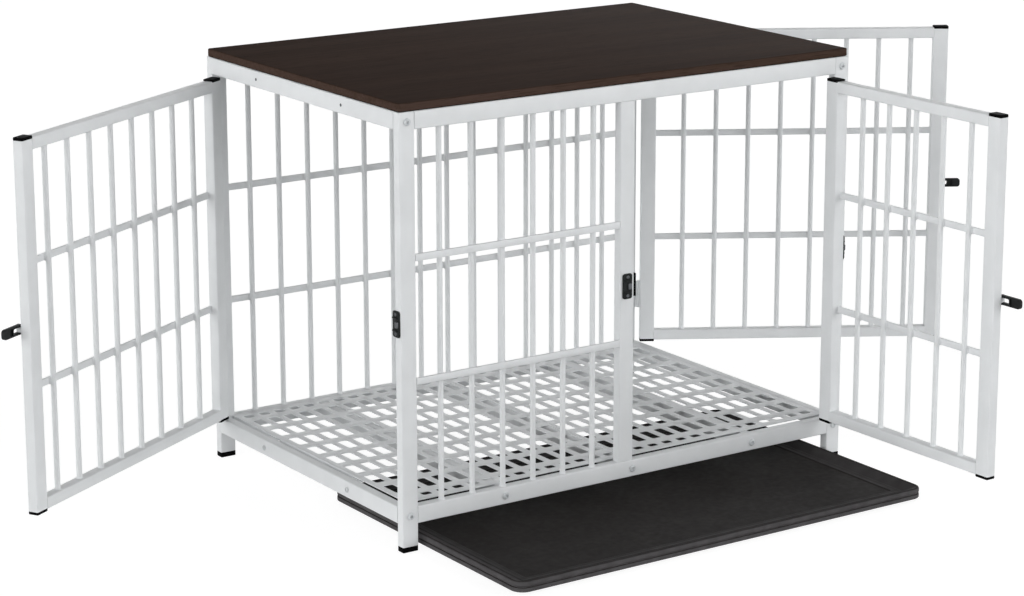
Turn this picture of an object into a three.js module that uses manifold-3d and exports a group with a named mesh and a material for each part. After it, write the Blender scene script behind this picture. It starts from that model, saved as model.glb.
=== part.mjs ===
// Dog crate end table, in millimetres, +Z up.
// The crate's own frame has its middle on the floor at (0, 0, 0): x runs to the right along the long
// side, y runs from the front (negative) to the back. Doors and tray are placed open, as photographed.
import * as THREE from "three";
import { mergeVertices } from "three/addons/utils/BufferGeometryUtils.js";
import Module from "manifold-3d";

const wasm = await Module();
wasm.setup();

// ---- Driving sizes ---------------------------------------------------------------------------

const crateLength = 782;
const crateWidth = 538;
const crateHeight = 630;

// Rectangular steel tube of the frame: the long side of its section and the short one.
const tubeWide = 25;
const tubeThin = 15;
const tubeWall = 1.2;
const tubeCorner = 1.6;

const boardThick = 12;
const boardInset = 1;
const boardCorner = 4;
const boardEdge = 1.2;

const footHeight = 8;
const footPlug = 14;
const plugClearance = 0.4;

// Underside of the bottom rails above the floor, and the middle post's right face from the crate's middle.
const railUnderside = 39.5;
const middlePostRight = 0.5;

const barRadius = 4;
const barSides = 12;
const crossbarHigh = 10;
const crossbarThick = 4.6;
// Middle of the low crossbar above the bottom rail, and of the high one below the top rail.
const lowCrossbarRise = 178;
const highCrossbarDrop = 176.5;
const backBarPitch = 50.3;
const frontBarPitch = 51.3;
// Least distance from a post or a stile to the middle of the bar beside it.
const barMargin = 30;
// How far a welded piece goes into the wall that it is welded to.
const weldDepth = 0.6;

const doorStileWide = 24;
const doorRailHigh = 17;
const doorThick = 16;
const doorGapAbove = 2;
const doorGapBelow = 2;
const hingeGap = 3;
const freeGap = 5;
const capThick = 2.5;
const capPlug = 10;
const capGap = 0.3;
const sideDoorBarPitch = 52.9;
const frontDoorBarPitch = 55.8;
const doorBarShift = 5;

// How far each door stands open in the photograph, in degrees.
const leftDoorOpen = 59.9;
const rightDoorOpen = 58.6;
const frontDoorOpen = 91.4;

const hingeHeight = 44;
const hingeBarrelRadius = 4;
const hingePinRadius = 2;
const hingePinClearance = 0.08;
const hingeBarrelGap = 0.4;
const hingeOut = 4.5;
const hingeLeafThick = 2.5;
const hingeLeafLength = 13;
const hingeWebReach = 4.5;
const hingeSides = 24;
// Middle of the low hinges above the bottom rail, and of the high ones below the top rail.
const lowHingeRise = 78.5;
const highHingeDrop = 98;

const latchHeight = 326;
const latchPivotInset = 5;
const latchPivotOut = 6.5;
const latchReach = 31;
const latchHigh = 14;
const latchThick = 6;
const latchPinRadius = 1.5;
const latchPinClearance = 0.08;
const latchKnuckleHigh = 6;
const latchForkClearance = 0.4;
const latchForkDepth = 14.5;
// The lever's inner side has a pocket that snaps over the keeper's nose.
const latchPocketClearance = 0.6;
const noseDistance = 15;

const keeperWide = 16;
const keeperHigh = 37;
const keeperThick = 3;
const keeperNoseWide = 6;
const keeperNoseHigh = 9;
const keeperNoseOut = 2.5;
const sideKeeperOverhang = 2;
const frontKeeperShift = 3;
const bumperThick = 3.8;
const bumperWide = 11;
const bumperHigh = 34;

const floorThick = 1.5;
const floorEndGap = 4.5;
const floorSideGap = 3;
const floorSeam = 1;
const slotWide = 16;
const slotLong = 37.5;
const slotPitchX = 26.26;
const slotPitchY = 53.75;
const slotSideMargin = 8;
const slotEndMargin = 13;
const shortestSlot = 10;
const crossMemberOffset = 220.5;
const bracketOffset = 119;
const bracketLong = 24;
const bracketReach = 14;
const bracketDrop = 18;
const bracketThick = 1.5;
const cleatLong = 300;
const cleatReach = 16;
const cleatDrop = 16;
const cleatThick = 1.5;

// Room beside the tray between the posts, and at its front and back between the frame's inner faces.
const traySideClearance = 9.5;
const trayEndClearance = 13;
const trayUnderside = 5;
const trayTop = 20;
const trayOut = 232;
const trayCorner = 14;
const trayInnerCorner = 3;
const trayEdge = 1;
const trayWall = 2.2;
const trayLip = 3;
const traySlopeInset = 22;
const traySlopeHeight = 11.8;
const trayFloorInset = 35;
const trayFloorHeight = 10.6;
const trayStepWide = 1.5;
const trayStepHigh = 0.8;
const skidWide = 6;
const skidOffset = 240;
const skidEndInset = 45;

// ---- Positions that follow from them ---------------------------------------------------------

const right = crateLength / 2;
const left = -right;
const back = crateWidth / 2;
const front = -back;
const boardBottom = crateHeight - boardThick;
const topRailBottom = boardBottom - tubeWide;
const bottomRailTop = railUnderside + tubeWide;
const middlePost = [middlePostRight - tubeWide, middlePostRight];
const floorTop = bottomRailTop + floorThick;
const lowCrossbarHeight = bottomRailTop + lowCrossbarRise;
const highCrossbarHeight = topRailBottom - highCrossbarDrop;
const lowHingeHeight = bottomRailTop + lowHingeRise;
const highHingeHeight = topRailBottom - highHingeDrop;
const trayLength = crateLength - 2 * tubeWide - 2 * traySideClearance;
const trayDepth = crateWidth - 2 * tubeThin - 2 * trayEndClearance;

// ---- Materials -------------------------------------------------------------------------------

function material(colour, roughness, metalness) {
  return new THREE.MeshStandardMaterial({ color: colour, roughness, metalness });
}

const whiteSteel = () => material(0xe4e5e6, 0.42, 0.1);
const darkWood = () => material(0x3a2c28, 0.5, 0);
const blackPlastic = () => material(0x111112, 0.45, 0);
const trayPlastic = () => material(0x262422, 0.5, 0);
const latchPlastic = () => material(0x2d3030, 0.45, 0);

// ---- Solids ----------------------------------------------------------------------------------

function solid(geometry) {
  geometry.deleteAttribute("normal");
  geometry.deleteAttribute("uv");
  const merged = mergeVertices(geometry, 1e-4);
  const vertProperties = new Float32Array(merged.attributes.position.array);
  const triVerts = new Uint32Array(merged.index.array);
  return new wasm.Manifold(new wasm.Mesh({ numProp: 3, vertProperties, triVerts }));
}

function joined(solids) {
  return wasm.Manifold.union(solids);
}

function node(parent, name, shape, surface) {
  const mesh = shape.getMesh();
  const geometry = new THREE.BufferGeometry();
  geometry.setAttribute("position", new THREE.BufferAttribute(new Float32Array(mesh.vertProperties), 3));
  geometry.setIndex(new THREE.BufferAttribute(new Uint32Array(mesh.triVerts), 1));
  geometry.computeVertexNormals();
  const made = new THREE.Mesh(geometry, surface);
  made.name = name;
  parent.add(made);
}

// A block between two values on each axis, given in either order.
function block(x, y, z) {
  const size = [x, y, z].map(([a, b]) => Math.abs(b - a));
  const geometry = new THREE.BoxGeometry(...size);
  geometry.translate((x[0] + x[1]) / 2, (y[0] + y[1]) / 2, (z[0] + z[1]) / 2);
  return solid(geometry);
}

function roundedOutline(width, height, radius) {
  const x = width / 2 - radius;
  const y = height / 2 - radius;
  const shape = new THREE.Shape();
  shape.absarc(x, y, radius, 0, Math.PI / 2);
  shape.absarc(-x, y, radius, Math.PI / 2, Math.PI);
  shape.absarc(-x, -y, radius, Math.PI, Math.PI * 1.5);
  shape.absarc(x, -y, radius, Math.PI * 1.5, Math.PI * 2);
  return shape;
}

function rectanglePath(width, height) {
  const path = new THREE.Path();
  path.moveTo(-width / 2, -height / 2);
  path.lineTo(-width / 2, height / 2);
  path.lineTo(width / 2, height / 2);
  path.lineTo(width / 2, -height / 2);
  path.closePath();
  return path;
}

// An open-ended rectangular tube that fills the block x, y, z and runs along the axis.
function tube(axis, x, y, z) {
  const size = { x: x[1] - x[0], y: Math.abs(y[1] - y[0]), z: z[1] - z[0] };
  const across = { x: [size.z, size.y], y: [size.x, size.z], z: [size.x, size.y] }[axis];
  const outline = roundedOutline(...across, tubeCorner);
  outline.holes.push(rectanglePath(across[0] - 2 * tubeWall, across[1] - 2 * tubeWall));
  const options = { depth: size[axis], bevelEnabled: false, curveSegments: 2 };
  const geometry = new THREE.ExtrudeGeometry(outline, options);
  geometry.translate(0, 0, -size[axis] / 2);
  if (axis === "x") {
    geometry.rotateY(Math.PI / 2);
  }
  if (axis === "y") {
    geometry.rotateX(-Math.PI / 2);
  }
  geometry.translate((x[0] + x[1]) / 2, (y[0] + y[1]) / 2, (z[0] + z[1]) / 2);
  return solid(geometry);
}

// An upright round bar on the axis (x, y).
function bar(x, y, z, radius, sides) {
  const geometry = new THREE.CylinderGeometry(radius, radius, z[1] - z[0], sides);
  geometry.rotateX(Math.PI / 2);
  geometry.translate(x, y, (z[0] + z[1]) / 2);
  return solid(geometry);
}

// Evenly spaced places about a middle.
function places(count, pitch, middle) {
  return Array.from({ length: count }, (_, i) => middle + (i - (count - 1) / 2) * pitch);
}

// As many bars at this pitch as fit between two uprights.
function barPlaces(span, pitch, shift) {
  const count = Math.floor((span[1] - span[0] - 2 * barMargin) / pitch) + 1;
  return places(count, pitch, (span[0] + span[1]) / 2 + shift);
}

const group = new THREE.Group();
group.name = "dog_crate_end_table";

// ---- Posts, feet and rails -------------------------------------------------------------------

const leftPost = [left, left + tubeWide];
const rightPost = [right - tubeWide, right];
const frontTube = [front, front + tubeThin];
const backTube = [back - tubeThin, back];
const leftTube = [left, left + tubeThin];
const rightTube = [right - tubeThin, right];

const corners = [
  ["front_left", leftPost, frontTube],
  ["front_right", rightPost, frontTube],
  ["back_left", leftPost, backTube],
  ["back_right", rightPost, backTube],
];

for (const [name, x, y] of corners) {
  node(group, `post_${name}`, tube("z", x, y, [footHeight, boardBottom]), whiteSteel());
  const sole = new THREE.ExtrudeGeometry(roundedOutline(tubeWide, tubeThin, tubeCorner), {
    depth: footHeight,
    bevelEnabled: false,
    curveSegments: 2,
  });
  sole.translate((x[0] + x[1]) / 2, (y[0] + y[1]) / 2, 0);
  const inside = tubeWall + plugClearance;
  const plug = block(
    [x[0] + inside, x[1] - inside],
    [y[0] + inside, y[1] - inside],
    [footHeight / 2, footHeight + footPlug],
  );
  node(group, `foot_${name}`, solid(sole).add(plug), blackPlastic());
}

const lowLevel = [railUnderside, bottomRailTop];
const highLevel = [topRailBottom, boardBottom];
const betweenPosts = [leftPost[1], rightPost[0]];
const betweenEnds = [frontTube[1], backTube[0]];

node(group, "post_middle", tube("z", middlePost, frontTube, [bottomRailTop, topRailBottom]), whiteSteel());

for (const [level, z] of [["top", highLevel], ["bottom", lowLevel]]) {
  node(group, `${level}_rail_front`, tube("x", betweenPosts, frontTube, z), whiteSteel());
  node(group, `${level}_rail_back`, tube("x", betweenPosts, backTube, z), whiteSteel());
  node(group, `${level}_rail_left`, tube("y", leftTube, betweenEnds, z), whiteSteel());
  node(group, `${level}_rail_right`, tube("y", rightTube, betweenEnds, z), whiteSteel());
}

// ---- Fixed grilles ---------------------------------------------------------------------------

// Round bars in the middle of the tube's depth, with two flat crossbars welded to their outer side.
function grille(x, outerFace, inward, bars) {
  const barAxis = outerFace + (inward * tubeThin) / 2;
  const pieces = bars.map((at) => bar(at, barAxis, [bottomRailTop, topRailBottom], barRadius, barSides));
  for (const height of [lowCrossbarHeight, highCrossbarHeight]) {
    const y = [outerFace, outerFace + inward * crossbarThick];
    pieces.push(block(x, y, [height - crossbarHigh / 2, height + crossbarHigh / 2]));
  }
  return joined(pieces);
}

const frontPanel = [leftPost[1], middlePost[0]];
const frontBars = barPlaces(frontPanel, frontBarPitch, 0);
const backBars = barPlaces(betweenPosts, backBarPitch, 0);
node(group, "front_grille", grille(frontPanel, front, 1, frontBars), whiteSteel());
node(group, "back_grille", grille(betweenPosts, back, -1, backBars), whiteSteel());

// ---- Tabletop and its cleats -----------------------------------------------------------------

const boardOutline = roundedOutline(
  crateLength - 2 * boardInset - 2 * boardEdge,
  crateWidth - 2 * boardInset - 2 * boardEdge,
  boardCorner - boardEdge,
);
const board = new THREE.ExtrudeGeometry(boardOutline, {
  depth: boardThick - 2 * boardEdge,
  bevelEnabled: true,
  bevelThickness: boardEdge,
  bevelSize: boardEdge,
  bevelSegments: 2,
  curveSegments: 4,
});
board.translate(0, 0, boardBottom + boardEdge);
node(group, "tabletop", solid(board), darkWood());

// An angle strip: one leg down the inner face of a side rail, the other one level, under a board or panel.
function angleStrip(side, along, top, reach, drop, thick) {
  const face = side * (right - tubeThin);
  const upright = block([face, face - side * thick], along, [top - drop, top]);
  const level = block([face, face - side * reach], along, [top - thick, top]);
  return upright.add(level);
}

for (const [name, side] of [["left", -1], ["right", 1]]) {
  const cleat = angleStrip(side, [-cleatLong / 2, cleatLong / 2], boardBottom, cleatReach, cleatDrop, cleatThick);
  node(group, `tabletop_cleat_${name}`, cleat, whiteSteel());
}

// ---- Floor -----------------------------------------------------------------------------------

const floorLevel = [bottomRailTop, floorTop];
const floorY = [frontTube[1] + floorEndGap, backTube[0] - floorEndGap];
const floorX = { left: [leftTube[1] + floorSideGap, -floorSeam / 2], right: [floorSeam / 2, rightTube[0] - floorSideGap] };

// Slots in rows from the middle out. The last one is cut short where it meets the panel's margin.
function slotSpans() {
  const limit = floorY[1] - slotEndMargin;
  const spans = [];
  for (let start = (slotPitchY - slotLong) / 2; start < limit - shortestSlot; start += slotPitchY) {
    const end = Math.min(start + slotLong, limit);
    spans.push([start, end], [-end, -start]);
  }
  return spans;
}

function floorPanel(x, side) {
  const slotLevel = [floorLevel[0] - floorThick, floorLevel[1] + floorThick];
  const limit = Math.max(Math.abs(x[0]), Math.abs(x[1])) - slotSideMargin - slotWide / 2;
  const slots = [];
  for (let fromSeam = slotPitchX / 2; fromSeam < limit; fromSeam += slotPitchX) {
    const middle = side * fromSeam;
    for (const y of slotSpans()) {
      slots.push(block([middle - slotWide / 2, middle + slotWide / 2], y, slotLevel));
    }
  }
  return block(x, floorY, floorLevel).subtract(joined(slots));
}

node(group, "floor_panel_left", floorPanel(floorX.left, -1), whiteSteel());
node(group, "floor_panel_right", floorPanel(floorX.right, 1), whiteSteel());

for (const [name, middle] of [["left", -crossMemberOffset], ["middle", 0], ["right", crossMemberOffset]]) {
  const x = [middle - tubeThin / 2, middle + tubeThin / 2];
  node(group, `floor_cross_member_${name}`, tube("y", x, betweenEnds, lowLevel), whiteSteel());
}

for (const [name, side] of [["left", -1], ["right", 1]]) {
  for (const [end, middle] of [["front", -bracketOffset], ["back", bracketOffset]]) {
    const along = [middle - bracketLong / 2, middle + bracketLong / 2];
    const bracket = angleStrip(side, along, bottomRailTop, bracketReach, bracketDrop, bracketThick);
    node(group, `floor_bracket_${end}_${name}`, bracket, whiteSteel());
  }
}

// ---- Doors -----------------------------------------------------------------------------------

// A door is built on its hinge axis: u runs along it away from the axis, v runs inwards from its outer
// face, and out is +1 where the outside lies towards +y before the door is turned, -1 where it lies
// towards -y.
const doorTubeLow = bottomRailTop + doorGapBelow + capThick;
const doorTubeHigh = topRailBottom - doorGapAbove - capThick;
const stileStart = hingeGap / 2;

function doorSpace(out) {
  const depth = (v) => -out * (v + hingeOut);
  return {
    depth,
    block: (u, v, z) => block(u, v.map(depth).sort((a, b) => a - b), z),
    tube: (axis, u, v, z) => tube(axis, u, v.map(depth).sort((a, b) => a - b), z),
    bar: (u, v, z, radius, sides) => bar(u, depth(v), z, radius, sides),
  };
}

function hingeLevels(middle) {
  const low = middle - hingeHeight / 2;
  const high = middle + hingeHeight / 2;
  return { post: [low, middle - hingeBarrelGap / 2], door: [middle + hingeBarrelGap / 2, high] };
}

// A door's hinge barrel with its leaf, bored for the pin.
function doorHinge(space, middle) {
  const z = hingeLevels(middle).door;
  const barrel = space.bar(0, -hingeOut, z, hingeBarrelRadius, hingeSides);
  const web = space.block([0, hingeWebReach], [-hingeOut, -hingeLeafThick / 2], z);
  const leaf = space.block([stileStart, stileStart + hingeLeafLength], [-hingeLeafThick, weldDepth], z);
  const bore = space.bar(0, -hingeOut, [z[0] - 1, z[1] + 1], hingePinRadius + hingePinClearance, hingeSides);
  return barrel.add(web).add(leaf).subtract(bore);
}

// The bracket on the free stile that carries the latch lever's pin.
function latchBracket(space, doorEnd) {
  const u = doorEnd - latchPivotInset;
  const z = [latchHeight - latchKnuckleHigh / 2, latchHeight + latchKnuckleHigh / 2];
  const pinZ = [latchHeight - latchHigh / 2, latchHeight + latchHigh / 2];
  const arm = space.block([u - latchThick / 2, u + latchThick / 2], [-latchPivotOut, weldDepth], z);
  const knuckle = space.bar(u, -latchPivotOut, z, latchThick / 2, hingeSides);
  const pin = space.bar(u, -latchPivotOut, pinZ, latchPinRadius, hingeSides);
  return arm.add(knuckle).add(pin);
}

function doorFrame(space, width, barPitch) {
  const end = stileStart + width;
  const inner = [stileStart + doorStileWide, end - doorStileWide];
  const v = [0, doorThick];
  const z = [doorTubeLow, doorTubeHigh];
  const welded = [inner[0] - weldDepth, inner[1] + weldDepth];
  const lowRail = [z[0], z[0] + doorRailHigh];
  const highRail = [z[1] - doorRailHigh, z[1]];
  // The stile's wall is cut through where a rail meets it, so no hollow is sealed.
  const hollow = ([low, high]) => space.block(
    [inner[0] - 2 * tubeWall, inner[1] + 2 * tubeWall],
    [tubeWall, doorThick - tubeWall],
    [low + tubeWall, high - tubeWall],
  );
  const tubes = joined([
    space.tube("z", [stileStart, inner[0]], v, z),
    space.tube("z", [inner[1], end], v, z),
    space.tube("x", welded, v, lowRail),
    space.tube("x", welded, v, highRail),
  ]).subtract(hollow(lowRail)).subtract(hollow(highRail));
  const pieces = [
    tubes,
    doorHinge(space, lowHingeHeight),
    doorHinge(space, highHingeHeight),
    latchBracket(space, end),
  ];
  const barZ = [lowRail[1] - weldDepth, highRail[0] + weldDepth];
  for (const u of barPlaces(inner, barPitch, doorBarShift)) {
    pieces.push(space.bar(u, doorThick / 2, barZ, barRadius, barSides));
  }
  for (const height of [lowCrossbarHeight, highCrossbarHeight]) {
    const high = [height - crossbarHigh / 2, height + crossbarHigh / 2];
    pieces.push(space.block(welded, [0, crossbarThick], high));
  }
  return joined(pieces);
}

// An end cap: a plate over the end of a stile, with a plug inside it.
function doorCap(space, u, tubeEnd, direction) {
  const inside = tubeWall + plugClearance;
  const near = tubeEnd + direction * capGap;
  const far = tubeEnd + direction * capThick;
  const deep = tubeEnd - direction * capPlug;
  const plate = space.block(u, [0, doorThick], [near, far].sort((a, b) => a - b));
  const plugZ = [deep, (near + far) / 2].sort((a, b) => a - b);
  const plug = space.block([u[0] + inside, u[1] - inside], [inside, doorThick - inside], plugZ);
  return plate.add(plug);
}

function latchLever(space, doorEnd) {
  const pivot = doorEnd - latchPivotInset;
  const v = [-latchPivotOut - latchThick / 2, -latchPivotOut + latchThick / 2];
  const z = [latchHeight - latchHigh / 2, latchHeight + latchHigh / 2];
  const forkHalf = latchKnuckleHigh / 2 + latchForkClearance;
  const noseMiddle = doorEnd + noseDistance;
  const body = space.block([pivot, doorEnd + latchReach], v, z);
  const round = space.bar(pivot, -latchPivotOut, z, latchThick / 2, hingeSides);
  const fork = space.block(
    [pivot - latchThick, pivot + latchForkDepth],
    [v[0] - 1, v[1] + 1],
    [latchHeight - forkHalf, latchHeight + forkHalf],
  );
  const bore = space.bar(pivot, -latchPivotOut, [z[0] - 1, z[1] + 1], latchPinRadius + latchPinClearance, hingeSides);
  const pocketHalfWide = keeperNoseWide / 2 + latchPocketClearance;
  const pocketHalfHigh = keeperNoseHigh / 2 + latchPocketClearance;
  const pocket = space.block(
    [noseMiddle - pocketHalfWide, noseMiddle + pocketHalfWide],
    [-keeperThick - keeperNoseOut - latchPocketClearance, v[1] + 1],
    [latchHeight - pocketHalfHigh, latchHeight + pocketHalfHigh],
  );
  return body.add(round).subtract(fork).subtract(bore).subtract(pocket);
}

function addDoor(name, out, axis, turn, width, barPitch) {
  const door = new THREE.Group();
  door.position.set(axis[0], axis[1], 0);
  door.rotation.z = THREE.MathUtils.degToRad(turn);
  group.add(door);
  const space = doorSpace(out);
  const end = stileStart + width;
  node(door, `${name}_door`, doorFrame(space, width, barPitch), whiteSteel());
  const stiles = { hinge: [stileStart, stileStart + doorStileWide], free: [end - doorStileWide, end] };
  for (const [stile, u] of Object.entries(stiles)) {
    node(door, `${name}_door_cap_${stile}_top`, doorCap(space, u, doorTubeHigh, 1), blackPlastic());
    node(door, `${name}_door_cap_${stile}_bottom`, doorCap(space, u, doorTubeLow, -1), blackPlastic());
  }
  node(door, `${name}_door_latch`, latchLever(space, end), latchPlastic());
}

const sideDoorWidth = betweenEnds[1] - betweenEnds[0] - hingeGap - freeGap;
const frontDoorWidth = rightPost[0] - middlePost[1] - hingeGap - freeGap;
const sideHingeY = backTube[0] - hingeGap / 2;
const hingeAxes = {
  left: [left - hingeOut, sideHingeY],
  right: [right + hingeOut, sideHingeY],
  front: [rightPost[0] - hingeGap / 2, front - hingeOut],
};

addDoor("left", -1, hingeAxes.left, -90 - leftDoorOpen, sideDoorWidth, sideDoorBarPitch);
addDoor("right", 1, hingeAxes.right, -90 + rightDoorOpen, sideDoorWidth, sideDoorBarPitch);
addDoor("front", 1, hingeAxes.front, 180 + frontDoorOpen, frontDoorWidth, frontDoorBarPitch);

// ---- Hinge halves on the posts ---------------------------------------------------------------

// Barrel and pin on the hinge axis, with a leaf on the post's outer face. The leaf runs in the
// direction along, and out points away from that face.
function postHinge(axis, along, out, middle) {
  const levels = hingeLevels(middle);
  const point = (a, o) => [axis[0] + along[0] * a + out[0] * o, axis[1] + along[1] * a + out[1] * o];
  const plate = (a, o) => {
    const [p, q] = [point(a[0], o[0]), point(a[1], o[1])];
    return block([p[0], q[0]], [p[1], q[1]], levels.post);
  };
  const pinTop = levels.door[1];
  const barrel = bar(...axis, levels.post, hingeBarrelRadius, hingeSides);
  const pin = bar(...axis, [levels.post[0], pinTop], hingePinRadius, hingeSides);
  const web = plate([0, hingeWebReach], [-hingeOut + hingeLeafThick / 2, 0]);
  const leaf = plate([0, hingeLeafLength], [-hingeOut, -hingeOut + hingeLeafThick]);
  return barrel.add(pin).add(web).add(leaf);
}

const hingeSets = [
  ["left", hingeAxes.left, [0, 1], [-1, 0]],
  ["right", hingeAxes.right, [0, 1], [1, 0]],
  ["front", hingeAxes.front, [1, 0], [0, -1]],
];
for (const [name, axis, along, out] of hingeSets) {
  node(group, `${name}_hinge_low`, postHinge(axis, along, out, lowHingeHeight), whiteSteel());
  node(group, `${name}_hinge_high`, postHinge(axis, along, out, highHingeHeight), whiteSteel());
}

// ---- Latch keepers and the bumper ------------------------------------------------------------

// The nose stands where the closed door's lever has its window.
const sideNoseY = betweenEnds[0] + freeGap - noseDistance;
const frontNoseX = middlePost[1] + freeGap - noseDistance;
const keeperZ = [latchHeight - keeperHigh / 2, latchHeight + keeperHigh / 2];
const noseZ = [latchHeight - keeperNoseHigh / 2, latchHeight + keeperNoseHigh / 2];
const sideKeeperEnd = betweenEnds[0] + sideKeeperOverhang;
const sideKeeperY = [sideKeeperEnd - keeperWide, sideKeeperEnd];

for (const [name, side] of [["left", -1], ["right", 1]]) {
  const face = side * right;
  const plate = block([face, face + side * keeperThick], sideKeeperY, keeperZ);
  const nose = block(
    [face, face + side * (keeperThick + keeperNoseOut)],
    [sideNoseY - keeperNoseWide / 2, sideNoseY + keeperNoseWide / 2],
    noseZ,
  );
  node(group, `${name}_keeper`, plate.add(nose), latchPlastic());
}

const frontKeeperMiddle = frontNoseX - frontKeeperShift;
const frontKeeperX = [frontKeeperMiddle - keeperWide / 2, frontKeeperMiddle + keeperWide / 2];
const frontPlate = block(frontKeeperX, [front - keeperThick, front], keeperZ);
const frontNose = block(
  [frontNoseX - keeperNoseWide / 2, frontNoseX + keeperNoseWide / 2],
  [front - keeperThick - keeperNoseOut, front],
  noseZ,
);
node(group, "front_keeper", frontPlate.add(frontNose), latchPlastic());

const bumper = block(
  [middlePost[1], middlePost[1] + bumperThick],
  [front, front + bumperWide],
  [latchHeight - bumperHigh / 2, latchHeight + bumperHigh / 2],
);
node(group, "front_bumper", bumper, latchPlastic());

// ---- Tray ------------------------------------------------------------------------------------

// A closed solid through a stack of rounded rectangles, each set in from the tray's outline.
function ringSolid(rings) {
  const positions = [];
  const cornerSteps = 5;
  const perRing = 4 * (cornerSteps + 1);
  for (const { inset, z } of rings) {
    const radius = Math.max(trayCorner - inset, trayInnerCorner);
    const x = trayLength / 2 - inset - radius;
    const y = trayDepth / 2 - inset - radius;
    const centres = [[x, y], [-x, y], [-x, -y], [x, -y]];
    centres.forEach(([cx, cy], corner) => {
      for (let step = 0; step <= cornerSteps; step += 1) {
        const angle = (corner + step / cornerSteps) * (Math.PI / 2);
        positions.push(cx + radius * Math.cos(angle), cy + radius * Math.sin(angle), z);
      }
    });
  }
  const index = [];
  for (let ring = 0; ring + 1 < rings.length; ring += 1) {
    for (let i = 0; i < perRing; i += 1) {
      const a = ring * perRing + i;
      const b = ring * perRing + ((i + 1) % perRing);
      index.push(a, b, b + perRing, a, b + perRing, a + perRing);
    }
  }
  const last = (rings.length - 1) * perRing;
  for (let i = 1; i + 1 < perRing; i += 1) {
    index.push(0, i + 1, i);
    index.push(last, last + i, last + i + 1);
  }
  const geometry = new THREE.BufferGeometry();
  geometry.setAttribute("position", new THREE.BufferAttribute(new Float32Array(positions), 3));
  geometry.setIndex(index);
  return solid(geometry);
}

const trayBlock = ringSolid([
  { inset: 0, z: trayUnderside },
  { inset: 0, z: trayTop - trayEdge },
  { inset: trayEdge, z: trayTop },
]);
const trayInside = ringSolid([
  { inset: trayFloorInset, z: trayFloorHeight },
  { inset: trayFloorInset - trayStepWide, z: trayFloorHeight + trayStepHigh },
  { inset: traySlopeInset, z: traySlopeHeight },
  { inset: trayLip, z: trayTop },
  { inset: trayLip, z: trayTop + 1 },
]);
const panBody = ringSolid([
  { inset: trayFloorInset + 1, z: trayFloorHeight - trayWall },
  { inset: trayFloorInset - 1, z: trayFloorHeight + trayStepHigh - trayWall },
  { inset: traySlopeInset + 0.6, z: traySlopeHeight - trayWall },
  { inset: trayLip + 1.2, z: trayTop - trayWall },
  { inset: trayLip + 1.2, z: trayTop + 1 },
]);
const underRim = ringSolid([
  { inset: trayWall, z: trayUnderside - 1 },
  { inset: trayWall, z: trayTop - trayWall },
]).subtract(panBody);

const skidY = [-trayDepth / 2 + skidEndInset, trayDepth / 2 - skidEndInset];
const skids = [-skidOffset, 0, skidOffset].map((x) =>
  block([x - skidWide / 2, x + skidWide / 2], skidY, [0, trayFloorHeight - trayWall / 2]),
);
const tray = joined([trayBlock.subtract(trayInside).subtract(underRim), ...skids]);
node(group, "tray", tray.translate([0, front - trayOut + trayDepth / 2, 0]), trayPlastic());

// ---- Place the part: the middle of its footprint, with the doors open, goes to the origin ----

group.updateMatrixWorld(true);
const bounds = new THREE.Box3().setFromObject(group, true);
group.position.set(-(bounds.min.x + bounds.max.x) / 2, -(bounds.min.y + bounds.max.y) / 2, -bounds.min.z);

export default group;
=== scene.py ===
# %% [markdown]
# # A dog crate that serves as an end table
# The object is a cage of white steel tube with a dark wood-look board on top. Three barred doors stand
# open, the floor is a slotted sheet, and a shallow black tray slides out under the front rail.
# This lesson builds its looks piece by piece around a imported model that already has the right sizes.
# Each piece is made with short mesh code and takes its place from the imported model.

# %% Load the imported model
import math

import bmesh
import bpy
from mathutils import Matrix, Vector


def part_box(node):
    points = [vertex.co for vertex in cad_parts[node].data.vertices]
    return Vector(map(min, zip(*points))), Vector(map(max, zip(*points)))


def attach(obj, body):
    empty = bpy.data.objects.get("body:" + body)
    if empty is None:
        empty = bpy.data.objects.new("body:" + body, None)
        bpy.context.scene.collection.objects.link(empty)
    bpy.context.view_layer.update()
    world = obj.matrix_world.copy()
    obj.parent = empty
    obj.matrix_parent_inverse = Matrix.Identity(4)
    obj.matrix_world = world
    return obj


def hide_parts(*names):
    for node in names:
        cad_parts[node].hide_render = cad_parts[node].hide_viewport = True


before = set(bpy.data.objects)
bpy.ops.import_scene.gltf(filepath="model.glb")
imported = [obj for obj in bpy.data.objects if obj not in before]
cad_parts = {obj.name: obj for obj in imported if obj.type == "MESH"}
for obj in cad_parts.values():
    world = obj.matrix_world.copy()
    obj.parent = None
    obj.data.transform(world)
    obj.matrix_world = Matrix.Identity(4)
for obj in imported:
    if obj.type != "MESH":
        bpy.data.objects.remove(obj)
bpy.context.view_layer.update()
scene = bpy.context.scene

# %% [markdown]
# ## One measure for everything
# Sheet-metal work is drawn in millimetres, so the pieces are too. Their zero is the middle of the crate
# on the floor, which is right under the middle of the board. Every piece is turned to metres once, when
# it is finished. The other way, to type metres everywhere, makes small parts hard to read.

# %% Millimetres from the crate's middle
MM = 0.001
board_low, board_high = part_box("tabletop")
crate_middle = Vector(((board_low.x + board_high.x) / 2, (board_low.y + board_high.y) / 2, 0))


def place(x, y, z):
    """The scene's point for a place in millimetres from the crate's middle."""
    return crate_middle + Vector((x, y, z)) * MM


def block_of(node):
    """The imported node's box as three spans in millimetres from the crate's middle."""
    low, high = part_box(node)
    low, high = (low - crate_middle) / MM, (high - crate_middle) / MM
    return [(low[i], high[i]) for i in range(3)]


print("crate middle, metres:", [round(value, 4) for value in crate_middle])

# %% [markdown]
# ## The camera
# The photograph was taken from the front left, a little above the table, with a long lens: the crate's
# upright edges stay almost parallel. Lens, place and tilt come from matching the crate's edges. The
# picture is cut a little below the lens's middle, which is a small vertical shift of the sensor.

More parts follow.
